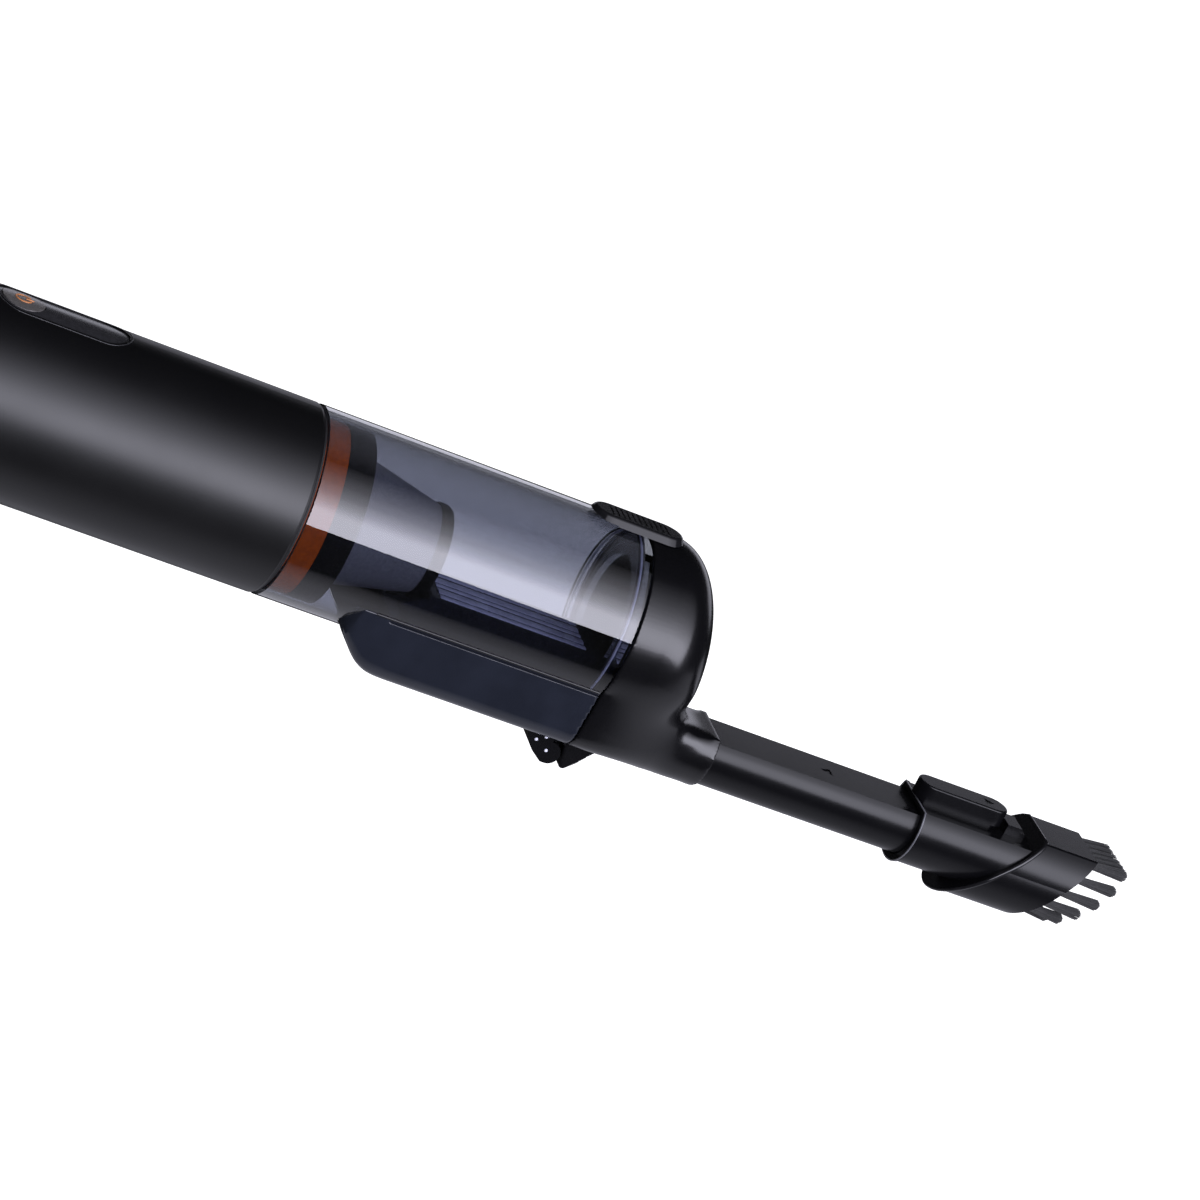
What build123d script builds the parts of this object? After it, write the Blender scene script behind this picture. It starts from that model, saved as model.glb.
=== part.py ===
from build123d import *
import os
from math import asin, cos, pi, radians, sin, sqrt

# The origin is the centre of the flat rear face. +X runs to the nozzle, and +Z out through the power button.
# All sizes are in millimetres.

# ---------------------------------------------------------------- driving dimensions
body_radius = 30.0          # outside of the housing and of the clear cup
body_length = 150.0         # rear face to the parting line between housing and cup
cup_length = 107.8          # that parting line to the one between cup and head
housing_wall = 2.2
cup_wall = 2.0
part_gap = 0.3              # between faces that part when the object is opened
run_gap = 0.05              # radial clearance of a pin or shaft in its bore

cup_rear = body_length + 0.4
seam = body_length + cup_length
cup_front = seam - 0.3
head_rear = seam + 0.3
cup_inner = body_radius - cup_wall

# rear cap and exhaust
cap_thickness = 3.0
cap_skirt_depth = 8.0
slot_count = 12
slot_ring_radius = 19.5

# battery
cell_radius = 9.1
cell_length = 65.0
cell_start = 17.0
cell_circle = 10.9
holder_thickness = 5.0

# motor and fan, all about the X axis
motor_start = 97.0
motor_length = 31.0
motor_radius = 15.5
shaft_radius = 1.5
bearing_radius = 4.5
bearing_length = 3.0
fan_start = 131.5
fan_length = 8.0
fan_radius = 20.0
blade_count = 11
screw_radius = 0.9
screw_circle = 23.6

# control panel and power button
panel_front = 87.1
panel_half_width = 8.3
button_x = 54.5
button_radius = 6.6
button_travel = 0.7
panel_rear = button_x - panel_half_width
panel_radius = body_radius - 0.5
board_top = 21.4
board_thickness = 1.6

# lock ring and filter
lock_ring_radius = 27.0
lock_ring_front = 158.0
filter_seat_radius = 19.4
filter_seat_front = 162.0
frame_front = 166.8
cone_base_radius = 20.6
cone_tip_radius = 14.2
cone_front = 194.5
end_ring_front = 198.9
end_ring_radius = 14.9
pleat_count = 24

# duct under the cup
floor_top = -15.2
floor_thickness = 1.6
floor_rear = 187.5
duct_rear = 174.0
duct_bottom = -37.5
duct_low_half_width = 22.0
duct_wall = 1.8
duct_corner = 7.0
duct_plan_corner = 16.0
duct_rear_curve = 15.0       # how softly its bottom turns up at the rear
ridge_half_width = 11.4
ridge_top = -9.3
ridge_rear = 192.0
ridge_rise_end = 201.0
cup_end_thickness = 2.0
cup_end_hole = 19.6

# head
dome_start = 267.5          # where the round part starts to close
dome_length = 24.3
dome_drop = 22.0            # how far its middle sinks towards the nozzle
dome_power_x = 2.5
dome_power_r = 2.27
head_wall = 2.2
collar_front = 306.4
neck_rear = 284.0
flap_x = head_rear + 4.0
flap_z = floor_top - head_wall - 2.0
flap_half_width = 15.5
flap_pin_radius = 0.6
flap_pin_half_length = 24.2

# crevice tube, shared by collar, tube and brush
tube_z = -29.9
tube_radius = 11.6
tube_flat = -23.8
tube_wall = 1.6
tube_spigot_length = 18.0
tube_front_top = 438.0
tube_front_bottom = 424.0
collar_radius = tube_radius + 1.2
collar_flat = tube_flat + 1.4

# brush, drawn where it rests: slid forward over the end of the tube
sleeve_rear = 379.5
sleeve_inner = tube_radius + 0.4
sleeve_outer = 13.8
sleeve_flat = -22.0
brush_seam_top = 419.0
brush_seam_bottom = 399.3
tip_radius = 15.3
tip_z = -32.6
tip_top_half_width = 10.6
tip_flat = -18.4
tip_front_top = 442.8
tip_front_bottom = 423.5
tuft_radius = 1.4
tuft_root = 5.0              # how far a tuft goes back into the rim
tuft_reach = 14.5
brush_travel = 55.0

# brush release button
release_rear = 377.8
release_front = 410.3
release_half_width = 5.0
release_top = -15.2
release_ceiling = -17.4
release_floor = -22.6

# head hinge
hinge_x = seam
hinge_z = -45.6
hinge_pin_radius = 1.25
hinge_barrel = 3.7
hinge_pin_length = 17.0
centre_knuckle = 3.6

# latch
latch_rear = 237.2
latch_front = 269.7
latch_half_width = 6.5
latch_bottom = 29.2
latch_top = 32.2
latch_ceiling = 31.3
latch_pivot_x = 246.0
latch_pivot_z = 30.1
latch_pin_radius = 0.5
latch_knuckle = 0.95
latch_pocket_bottom = 28.9
latch_pocket_rear = 241.2
latch_pocket_front = 250.4
latch_pocket_half_width = 3.9
latch_ribs = 11
latch_rib_pitch = 2.05


# ---------------------------------------------------------------- shapes that repeat
def bar(x0, x1, radius, y=0.0, z=0.0):
    """A solid round bar along X."""
    return Pos((x0 + x1) / 2, y, z) * Rot(0, 90, 0) * Cylinder(radius, x1 - x0)


def pipe(x0, x1, outer, inner, y=0.0, z=0.0):
    """A round pipe along X, open at both ends."""
    return bar(x0, x1, outer, y, z) - bar(x0 - 1, x1 + 1, inner, y, z)


def block(x0, x1, y0, y1, z0, z1):
    """A box between two corners."""
    return Pos((x0 + x1) / 2, (y0 + y1) / 2, (z0 + z1) / 2) * Box(x1 - x0, y1 - y0, z1 - z0)


def cross_bar(x, z, radius, half_length):
    """A solid round bar along Y, centred on the middle plane."""
    return Pos(x, 0, z) * Rot(90, 0, 0) * Cylinder(radius, 2 * half_length)


def pill(x0, x1, half_width, z0, z1):
    """An upright prism with round ends, its long way along X."""
    outline = SlotOverall(x1 - x0, 2 * half_width)
    return Pos((x0 + x1) / 2, 0, z0) * extrude(outline, z1 - z0)


def turned(points):
    """A solid of revolution about X, from (x, radius) points."""
    face = make_face(Polyline(*[(x, 0, radius) for x, radius in points], close=True))
    return revolve(face, Axis.X)


def side_prism(points, half_width):
    """A prism across Y, from (x, z) points."""
    face = make_face(Polyline(*[(x, 0, z) for x, z in points], close=True))
    return extrude(face, half_width, dir=(0, 1, 0), both=True)


def d_bar(x0, x1, radius, flat, z=tube_z):
    """A bar along X with the crevice tube's section: round below, flat on top."""
    return bar(x0, x1, radius, z=z) - block(x0 - 1, x1 + 1, -radius, radius, flat, flat + 2 * radius)


def across_at(x, z=0.0):
    """The plane across X at x: its own x runs along +Y and its own y along +Z."""
    return Plane(origin=(x, 0, z), x_dir=(0, 1, 0), z_dir=(1, 0, 0))


def ahead_of(top_x, bottom_x, top_z, bottom_z, reach=80.0):
    """A slab with a leaning rear face, to cut what lies ahead of that face."""
    lean = (top_x - bottom_x) / (top_z - bottom_z)
    high = top_z + reach
    low = bottom_z - reach
    high_x = top_x + lean * reach
    low_x = bottom_x - lean * reach
    return side_prism([(high_x, high), (low_x, low), (low_x + 400, low), (high_x + 400, high)], reach)


# ---------------------------------------------------------------- housing
def main_housing():
    """The round outer shell, with a soft front edge and an opening for the control panel."""
    edge = 1.2
    front = body_length - 0.5
    shell = turned([
        (cap_thickness, body_radius),
        (front - edge, body_radius),
        (front - 0.35 * edge, body_radius - 0.3 * edge),
        (front, body_radius - edge),
        (front, body_radius - housing_wall),
        (cap_thickness, body_radius - housing_wall),
    ])
    for angle in (60, 180, 300):
        boss = bar(motor_start, motor_start + 8.0, 3.2, z=screw_circle)
        web = block(motor_start, motor_start + 8.0, -3.2, 3.2, screw_circle, body_radius - housing_wall)
        pilot = bar(motor_start - 1, motor_start + 6.0, screw_radius + 0.02, z=screw_circle)
        shell += Rot(angle, 0, 0) * (boss + web - pilot)
    opening = pill(panel_rear - 0.2, panel_front + 0.2, panel_half_width + 0.2, 20, 40)
    return shell - opening


def rear_cap():
    """The rear closing cap: a disc with a rim, a skirt inside the housing, exhaust slots and the charging opening."""
    skirt = body_radius - housing_wall - 0.02
    cap = turned([
        (0, 0),
        (0, body_radius - 2.0),
        (0.6, body_radius - 0.6),
        (2.0, body_radius),
        (cap_thickness, body_radius),
        (cap_thickness, skirt),
        (cap_thickness + cap_skirt_depth, skirt),
        (cap_thickness + cap_skirt_depth, skirt - 1.8),
        (cap_thickness, skirt - 1.8),
        (cap_thickness, 0),
    ])
    slot = Pos(-1, 0, 0) * Rot(0, 90, 0) * extrude(SlotOverall(9.0, 2.4), cap_thickness + 2)
    for i in range(slot_count):
        cap -= Rot(360 * (i + 0.5) / slot_count, 0, 0) * Pos(0, 0, slot_ring_radius) * slot
    port = Rot(0, 90, 0) * extrude(Rot(0, 0, 90) * SlotOverall(10.0, 4.2), cap_thickness + 2)
    return cap - Pos(-1, 0, 0) * port


def exhaust_foam():
    """A foam ring behind the exhaust slots."""
    return pipe(cap_thickness + 0.1, cap_thickness + 5.1, 25.8, 12.0)


def charge_port():
    """The charging socket: a shell with a tongue, seated in the rear cap."""
    outside = Rot(0, 90, 0) * extrude(Rot(0, 0, 90) * SlotOverall(9.8, 4.0), 8.0)
    inside = Rot(0, 90, 0) * extrude(Rot(0, 0, 90) * SlotOverall(9.0, 3.2), 7.0)
    tongue = block(1.5, 8.0, -3.3, 3.3, -0.35, 0.35)
    return Pos(0.8, 0, 0) * (outside - inside) + tongue


def charge_board():
    """A round board that carries the charging socket."""
    return pipe(9.0, 10.6, 11.8, 1.0) + bar(9.0, 10.6, 1.2)


def cell_places():
    """The middles of the three cells, one below and two above."""
    return [(cell_circle * sin(radians(a)), cell_circle * cos(radians(a))) for a in (60, 180, 300)]


def battery_cells():
    """Three round cells with their raised end contacts."""
    cells = []
    for y, z in cell_places():
        cells.append(bar(cell_start, cell_start + cell_length, cell_radius, y, z))
    return Compound(children=cells)


def cell_holders():
    """Two spacer plates that hold the cells at their ends."""
    plates = []
    for x0 in (cell_start, cell_start + cell_length - holder_thickness):
        x1 = x0 + holder_thickness
        plate = bar(x0, x1, body_radius - housing_wall - 0.1)
        for y, z in cell_places():
            plate -= bar(x0 - 1, x1 + 1, cell_radius + 0.02, y, z)
        for i in (1, 2):
            plate -= Rot(120 * i, 0, 0) * block(x0 - 1, x1 + 1, -7, 7, 21.6, 40)
        plate -= block(x0 - 1, x1 + 1, -13, 13, board_top - board_thickness - 0.2, 40)
        plates.append(plate)
    return Compound(children=plates)


def cell_strips():
    """Welded contact strips across the cell ends."""
    strips = []
    places = cell_places()
    for x0 in (cell_start - 0.3, cell_start + cell_length):
        y0, z0 = places[0]
        y1, z1 = places[2]
        strips.append(block(x0, x0 + 0.3, y1, y0, z0 - 2.5, z0 + 2.5))
        y2, z2 = places[1]
        strips.append(block(x0, x0 + 0.3, -3, 3, z2 - 3, z2 + 3))
    return Compound(children=strips)


def control_board():
    """The circuit board under the control panel."""
    return block(40.0, 92.0, -11.0, 11.0, board_top - board_thickness, board_top)


def board_posts():
    """Two ribs that carry the control board over the cells."""
    ribs = []
    for x0 in (42.0, 88.0):
        rib = block(x0, x0 + 3.0, -16.0, 16.0, 12.0, board_top - board_thickness)
        for y, z in cell_places():
            rib -= bar(x0 - 1, x0 + 4, cell_radius + 0.05, y, z)
        ribs.append(rib)
    return Compound(children=ribs)


def tact_switch():
    """The push switch under the power button."""
    case = Pos(button_x, 0, board_top) * Box(6.0, 6.0, 2.0, align=(Align.CENTER, Align.CENTER, Align.MIN))
    plunger = Pos(button_x, 0, board_top + 2.0) * Cylinder(1.7, 0.6, align=(Align.CENTER, Align.CENTER, Align.MIN))
    return case + plunger


def status_lamps():
    """Small lamps on the board below the panel's window."""
    lamps = [Pos(x, 0, board_top + 0.5) * Box(1.6, 0.8, 1.0) for x in (70.0, 74.0, 78.0)]
    return Compound(children=lamps)


def control_panel():
    """The pill-shaped panel let into the housing, a little below its surface, with the button's hole."""
    plate = pill(panel_rear, panel_front, panel_half_width, 20, 40)
    plate &= pipe(panel_rear - 1, panel_front + 1, panel_radius, panel_radius - 2.2)
    hole = Pos(button_x, 0, 20) * Cylinder(button_radius + part_gap, 30, align=(Align.CENTER, Align.CENTER, Align.MIN))
    return plate - hole


def power_button():
    """The round button: a cap that follows the housing's curve, a flange that keeps it in, and a stem."""
    low = Align.CENTER, Align.CENTER, Align.MIN
    cap = Pos(button_x, 0, 24.9) * Cylinder(button_radius, 8.0, align=low)
    cap &= bar(button_x - 10, button_x + 10, body_radius - 0.3)
    cap -= Pos(button_x, 0, 24.0) * Cylinder(button_radius - 1.3, 3.4, align=low)
    flange = Pos(button_x, 0, 24.9) * Cylinder(button_radius + 0.9, 0.7, align=low)
    flange -= Pos(button_x, 0, 24.0) * Cylinder(button_radius - 1.3, 3.0, align=low)
    stem = Pos(button_x, 0, 24.9) * Cylinder(1.6, 3.0, align=low)
    return cap + flange + stem


def button_spring():
    """The coil spring that lifts the power button off its switch."""
    turns = 3
    height = 3.2
    path = Helix(pitch=height / turns, height=height, radius=4.9)
    coil = sweep(Plane(origin=path @ 0, z_dir=path % 0) * Circle(0.2), path)
    return Pos(button_x, 0, board_top + 0.25) * coil


# ---------------------------------------------------------------- motor and fan
def motor_can():
    """The motor's case: a drum with bearing seats in both end plates and air windows."""
    end = motor_start + motor_length
    case = pipe(motor_start, end, motor_radius, motor_radius - 1.2)
    for x0 in (motor_start, end - bearing_length):
        plate = pipe(x0, x0 + bearing_length, motor_radius, bearing_radius)
        for i in range(6):
            plate -= Rot(60 * i, 0, 0) * bar(x0 - 1, x0 + 4, 2.6, z=9.6)
        case += plate
    return case


def motor_stator():
    """The wound core inside the motor case."""
    core = pipe(motor_start + 6, motor_start + motor_length - 6, motor_radius - 1.25, 7.4)
    for i in range(6):
        core -= Rot(60 * i + 30, 0, 0) * block(motor_start, motor_start + motor_length, -1.6, 1.6, 8.6, 12.6)
    return core


def motor_bearings():
    """The two shaft bearings, pressed into the case."""
    end = motor_start + motor_length
    rings = []
    for x0 in (motor_start, end - bearing_length):
        rings.append(pipe(x0, x0 + bearing_length, bearing_radius, shaft_radius + run_gap))
    return Compound(children=rings)


def motor_rotor():
    """The turning shaft with its magnet."""
    shaft = bar(motor_start - 2, fan_start + fan_length + 1, shaft_radius)
    return shaft + bar(motor_start + 6, motor_start + motor_length - 6, 6.6)


def fan_wheel():
    """The fan: a hub cone, a back disc and curved blades, pressed on the shaft."""
    hub = turned([
        (fan_start, shaft_radius),
        (fan_start, fan_radius),
        (fan_start + 1.0, fan_radius),
        (fan_start + 2.2, 10.0),
        (fan_start + fan_length, 4.0),
        (fan_start + fan_length, shaft_radius),
    ])
    wheel = hub
    for i in range(blade_count):
        blade = block(fan_start + 0.6, fan_start + fan_length - 2.2, -0.45, 0.45, 4.5, fan_radius - 0.4)
        wheel += Rot(360 * i / blade_count, 0, 0) * blade
    return wheel


def fan_shroud():
    """The fan's cover, a bell with its mouth forwards."""
    inner = fan_radius + 0.6
    mouth = 9.5
    front = fan_start + fan_length + 1.6
    return turned([
        (fan_start - 3.2, inner),
        (fan_start - 3.2, inner + 1.4),
        (fan_start + 5.0, inner + 1.4),
        (front + 1.4, mouth + 3.4),
        (front + 1.4, mouth),
        (front, mouth),
        (fan_start + fan_length - 1.0, inner),
    ])


def motor_mount():
    """The ribbed rubber ring that holds the fan cover in the housing."""
    ring = pipe(fan_start - 1.0, fan_start + 4.0, body_radius - housing_wall - 0.05, fan_radius + 2.05)
    for i in range(12):
        ring -= Rot(30 * i, 0, 0) * bar(fan_start - 2, fan_start + 5, 1.3, z=25.0)
    return ring


def driver_board():
    """The motor's round circuit board."""
    board = pipe(motor_start - 6, motor_start - 4.4, 17.0, 4.0)
    return board


def motor_brace():
    """A spider behind the motor that ties its case to the housing."""
    x0 = motor_start - 3.0
    ring = pipe(x0, x0 + 3.0, motor_radius, 9.0)
    for i in range(3):
        arm = block(x0, x0 + 3.0, -3.2, 3.2, 12.0, 27.4) - bar(x0 - 1, x0 + 4, screw_radius + 0.05, z=screw_circle)
        ring += Rot(120 * i + 60, 0, 0) * arm
    return ring & bar(x0, x0 + 3.0, body_radius - housing_wall - 0.1)


def front_bulkhead():
    """The housing's front wall: a disc with the motor's air inlet, its guard bars and the filter seat."""
    x0 = body_length - 6.5
    wall = bar(x0, x0 + 2.5, body_radius - housing_wall - 0.05)
    wall += pipe(x0 + 2.5, body_length - 0.9, body_radius - housing_wall - 0.05, body_radius - housing_wall - 2.0)
    seat = pipe(x0 + 2.5, filter_seat_front, filter_seat_radius, filter_seat_radius - 1.6)
    wall -= bar(x0 - 1, x0 + 4, 15.0)
    wall += pipe(x0, x0 + 1.4, 8.2, 7.0)
    for i in range(3):
        wall += Rot(60 * i, 0, 0) * block(x0, x0 + 1.4, -0.7, 0.7, -16.0, 16.0)
    return wall + seat


def lock_ring():
    """The coloured ring that the cup slides over, fixed to the bulkhead."""
    return pipe(body_length - 4.0, lock_ring_front, lock_ring_radius, filter_seat_radius + 0.02) - pipe(
        body_length - 4.0 - 1, body_length - 0.9, body_radius, body_radius - housing_wall - 2.0)


def cup_seal():
    """The flat rubber ring between housing and cup."""
    return pipe(body_length - 0.5, body_length + 0.1, body_radius - 1.3, lock_ring_radius + 0.02)


def housing_screws():
    """Three screws that hold the motor brace to the housing's bosses."""
    screws = []
    for angle in (60, 180, 300):
        head = bar(motor_start - 4.8, motor_start - 3.0, 1.8, z=screw_circle)
        shank = bar(motor_start - 3.0, motor_start + 5.0, screw_radius, z=screw_circle)
        screws.append(Rot(angle, 0, 0) * (head + shank))
    return Compound(children=screws)


# ---------------------------------------------------------------- filter
def filter_frame():
    """The filter's mounting ring, which turns on the filter seat."""
    rear = lock_ring_front + part_gap
    inner = filter_seat_radius + part_gap
    return turned([
        (rear, inner),
        (rear, lock_ring_radius + 0.1),
        (frame_front - 0.5, lock_ring_radius + 0.1),
        (frame_front, lock_ring_radius - 0.4),
        (frame_front, cone_base_radius - 3.0),
        (frame_front - 2.0, cone_base_radius - 3.0),
        (filter_seat_front + part_gap, inner),
    ])


def filter_cone():
    """The outer mesh cone."""
    wall = 1.0
    return turned([
        (frame_front, cone_base_radius),
        (cone_front, cone_tip_radius),
        (cone_front, cone_tip_radius - wall),
        (frame_front, cone_base_radius - wall),
    ])


def star(x, outer, inner):
    """A face across X with one point for each pleat."""
    points = []
    for i in range(2 * pleat_count):
        radius = outer if i % 2 == 0 else inner
        angle = pi * i / pleat_count
        points.append((x, radius * sin(angle), radius * cos(angle)))
    return make_face(Polyline(*points, close=True))


def filter_pleats():
    """The pleated filter inside the cone."""
    rear = star(frame_front + 0.1, cone_base_radius - 1.3, cone_base_radius - 4.5)
    front = star(cone_front - 0.1, cone_tip_radius - 1.3, cone_tip_radius - 4.5)
    body = loft([rear, front], ruled=True)
    core = turned([
        (frame_front - 1, 0),
        (frame_front - 1, cone_base_radius - 6.0),
        (cone_front + 1, cone_tip_radius - 6.0),
        (cone_front + 1, 0),
    ])
    return body - core


def filter_end_ring():
    """The closed round end of the filter."""
    return turned([
        (cone_front, 0),
        (cone_front, end_ring_radius - 0.3),
        (cone_front + 0.8, end_ring_radius),
        (end_ring_front - 1.4, end_ring_radius - 0.1),
        (end_ring_front - 0.4, end_ring_radius - 0.7),
        (end_ring_front, end_ring_radius - 1.8),
        (end_ring_front, 0),
    ])


# ---------------------------------------------------------------- dust cup
def duct_form(inset=0.0, front=cup_front):
    """The duct's solid form, drawn in by inset: where its section, its side and its plan overlap."""
    top = floor_top
    wide = sqrt(body_radius ** 2 - top ** 2) - inset
    narrow = duct_low_half_width - inset
    bottom = duct_bottom + inset
    rear = duct_rear + inset
    section = Polygon((-wide, top), (-narrow, bottom), (narrow, bottom), (wide, top), align=None)
    section = fillet(section.vertices().group_by(Axis.Y)[0], duct_corner - inset)
    along = extrude(Plane.YZ * section, front)
    side = Polygon((rear, top), (rear, -23.4), (rear + 13.6, bottom), (front, bottom), (front, top), align=None)
    side = fillet(side.vertices().group_by(Axis.X)[1], duct_rear_curve - inset)
    side = fillet(side.vertices().group_by(Axis.X)[0].sort_by(Axis.Y)[0], 0.6 * duct_rear_curve - inset)
    across = extrude(Plane.XZ * side, body_radius, both=True)
    plan = Polygon((rear, -body_radius), (front, -body_radius), (front, body_radius), (rear, body_radius), align=None)
    plan = fillet(plan.vertices().group_by(Axis.X)[0], duct_plan_corner - inset)
    upright = Pos(0, 0, -2 * body_radius) * extrude(plan, 3 * body_radius)
    return along & across & upright


def cup_shell():
    """The clear cup: a round wall, cut away over the duct, and an end wall with a round opening."""
    wall = pipe(cup_rear, cup_front, body_radius, cup_inner)
    end = pipe(cup_front - cup_end_thickness, cup_front, cup_inner + 0.1, cup_end_hole)
    end -= block(cup_rear, cup_front + 1, -body_radius, body_radius, -2 * body_radius, floor_top)
    end -= ridge(0.02)
    pocket = pill(latch_pocket_rear, latch_pocket_front, latch_pocket_half_width, latch_pocket_bottom, 40)
    return wall + end - duct_form() - pocket


def ridge(grow=0.0):
    """The raised middle of the cup's floor, over the duct."""
    form = side_prism([
        (ridge_rear, floor_top - 0.01),
        (ridge_rise_end, ridge_top + grow),
        (cup_front, ridge_top + grow),
        (cup_front, floor_top - 0.01),
    ], ridge_half_width + grow)
    return form - bar(ridge_rear - 1, end_ring_front + 1.2, end_ring_radius + 0.8)


def duct_shell():
    """The smoky duct below the cup, open at its rear into the cup and at its front to the head."""
    shell = duct_form() - duct_form(duct_wall, cup_front + 1)
    shell -= bar(duct_rear - 2, floor_rear, cup_inner)
    return shell - block(floor_rear, cup_front + 1, -body_radius, body_radius, floor_top - floor_thickness, 0)


def cup_floor():
    """The floor between cup and duct, with its raised and hollow middle."""
    plate = block(floor_rear, cup_front, -body_radius, body_radius, floor_top - floor_thickness, floor_top)
    plate &= bar(floor_rear, cup_front, body_radius)
    plate -= bar(floor_rear - 1, end_ring_front + 1.2, end_ring_radius + 1.25)
    wall = 1.4
    hollow = side_prism([
        (ridge_rise_end + 2, floor_top - 2 * floor_thickness),
        (ridge_rise_end + 2, ridge_top - wall),
        (cup_front + 1, ridge_top - wall),
        (cup_front + 1, floor_top - 2 * floor_thickness),
    ], ridge_half_width - wall)
    return plate + ridge() - hollow


def hinge_bracket():
    """The cup's half of the head hinge: a rounded foot with two knuckles."""
    foot = side_prism([
        (246.0, duct_bottom - 0.01),
        (249.5, -42.5),
        (252.4, -46.6),
        (hinge_x - 1.5, hinge_z - hinge_barrel),
        (hinge_x - 0.2, hinge_z - hinge_barrel),
        (hinge_x - 0.2, duct_bottom - 0.01),
    ], 0.5 * hinge_pin_length)
    foot += cross_bar(hinge_x, hinge_z, hinge_barrel, 0.5 * hinge_pin_length) - block(
        hinge_x + 4, hinge_x + 5, -20, 20, -60, -30)
    foot -= cross_bar(hinge_x, hinge_z, hinge_barrel + 0.5, centre_knuckle + 0.3)
    return foot - cross_bar(hinge_x, hinge_z, hinge_pin_radius, hinge_pin_length)


def hinge_pin():
    """The pin, pressed into the bracket's knuckles."""
    return cross_bar(hinge_x, hinge_z, hinge_pin_radius, 0.5 * hinge_pin_length)


def hinge_screws():
    """Three small screws in the bracket's side."""
    heads = []
    for x, z in ((251.9, -41.6), (254.7, -40.2), (254.2, -44.2)):
        heads.append(Pos(x, -0.5 * hinge_pin_length - 0.2, z) * Rot(90, 0, 0) * Cylinder(0.55, 0.4))
    return Compound(children=heads)


def latch_base():
    """The fork in the cup's pocket that carries the latch: a thin foot with two cheeks."""
    gap = 0.05
    base = pill(latch_pocket_rear + gap, latch_pocket_front - gap, latch_pocket_half_width - gap,
                latch_pocket_bottom + 0.02, latch_pocket_bottom + 0.3)
    base -= block(latch_pivot_x - 1.5, latch_pivot_x + 1.5, -1.6, 1.6, 20, 40)
    cheek_top = latch_ceiling - 0.35
    cheeks = block(latch_pivot_x - 1.3, latch_pivot_x + 1.3, -3.4, 3.4, latch_pocket_bottom + 0.02, cheek_top)
    cheeks -= block(latch_pivot_x - 3, latch_pivot_x + 3, -1.6, 1.6, 20, 40)
    return base + cheeks - cross_bar(latch_pivot_x, latch_pivot_z, latch_pin_radius, 10)


def latch_button():
    """The ribbed latch: a pill that straddles the parting line, hollow below, with ribs across its top."""
    cap = pill(latch_rear, latch_front, latch_half_width, latch_bottom, latch_top)
    cap = fillet(cap.faces().sort_by(Axis.Z)[-1].edges(), 0.7)
    cap -= pill(latch_rear + 1.4, latch_front - 1.4, latch_half_width - 1.4, latch_bottom - 1, latch_ceiling)
    for i in range(latch_ribs):
        x = latch_rear + 6.0 + latch_rib_pitch * i
        cap -= Pos(x, 0, latch_top) * Box(0.7, 2 * latch_half_width - 3.4, 0.5)
    cap -= bar(latch_rear - 1, latch_pivot_x, body_radius + 0.75)
    cap -= bar(latch_pivot_x - 1, latch_front + 1, body_radius + 0.4)
    knuckle = cross_bar(latch_pivot_x, latch_pivot_z, latch_knuckle, 1.3) + block(
        latch_pivot_x - latch_knuckle, latch_pivot_x + latch_knuckle, -1.3, 1.3, latch_pivot_z, latch_ceiling + 0.1)
    return cap + knuckle - cross_bar(latch_pivot_x, latch_pivot_z, latch_pin_radius + run_gap, 5)


def latch_pin():
    """The pin the latch rocks on, held in the base's cheeks."""
    return cross_bar(latch_pivot_x, latch_pivot_z, latch_pin_radius, 3.3)


def latch_spring():
    """The small coil spring that lifts the latch's rear end."""
    wire = 0.12
    foot = latch_pocket_bottom + 0.3 + wire
    height = latch_ceiling - foot - 2 * wire
    path = Helix(pitch=height / 3, height=height, radius=0.9)
    coil = sweep(Plane(origin=path @ 0, z_dir=path % 0) * Circle(wire), path)
    return Pos(latch_pivot_x - 2.7, 0, foot) * coil


# ---------------------------------------------------------------- head
def dome(inset=0.0):
    """The head's closing form: circles that shrink and sink towards the nozzle."""
    circles = [(head_rear - 5 if inset else head_rear, body_radius - inset, 0.0), (dome_start, body_radius - inset, 0.0)]
    for angle in (20, 32, 44, 55, 65, 74):
        across = cos(radians(angle))
        along = sin(radians(angle))
        x = dome_start + (dome_length - inset) * along ** (2 / dome_power_x)
        radius = (body_radius - inset) * across ** (2 / dome_power_r)
        circles.append((x, radius, -dome_drop * (1 - across)))
    faces = [(across_at(x, z) * Circle(radius)).face() for x, radius, z in circles[1:]]
    round_end = loft(faces)
    return bar(circles[0][0], dome_start, body_radius - inset) + round_end


def neck_section(x, wide, narrow, top, bottom, corner):
    """A flat-topped section with round lower corners, in the plane at x."""
    outline = Polygon((-wide, top), (-narrow, bottom), (narrow, bottom), (wide, top), align=None)
    outline = fillet(outline.vertices().group_by(Axis.Y)[0], corner)
    return (across_at(x) * outline).face()


def neck(inset=0.0):
    """The head's lower form, from the duct's section to the collar."""
    wide = sqrt(body_radius ** 2 - floor_top ** 2)
    narrow = duct_low_half_width
    sections = [
        (head_rear, wide, narrow, floor_top, duct_bottom, duct_corner),
        (272.0, 24.0, 20.5, floor_top, -38.4, 8.5),
        (283.0, 18.4, 16.4, -17.0, -40.3, 10.0),
        (292.0, 13.8, 13.2, -20.5, -42.2, 11.5),
        (299.0, 12.5, 12.5, -22.4, -42.7, 12.0),
    ]
    faces = [
        neck_section(x, w - inset, n - inset, top - inset, bottom + inset, corner - inset)
        for x, w, n, top, bottom, corner in sections
    ]
    return loft(faces)


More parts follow.
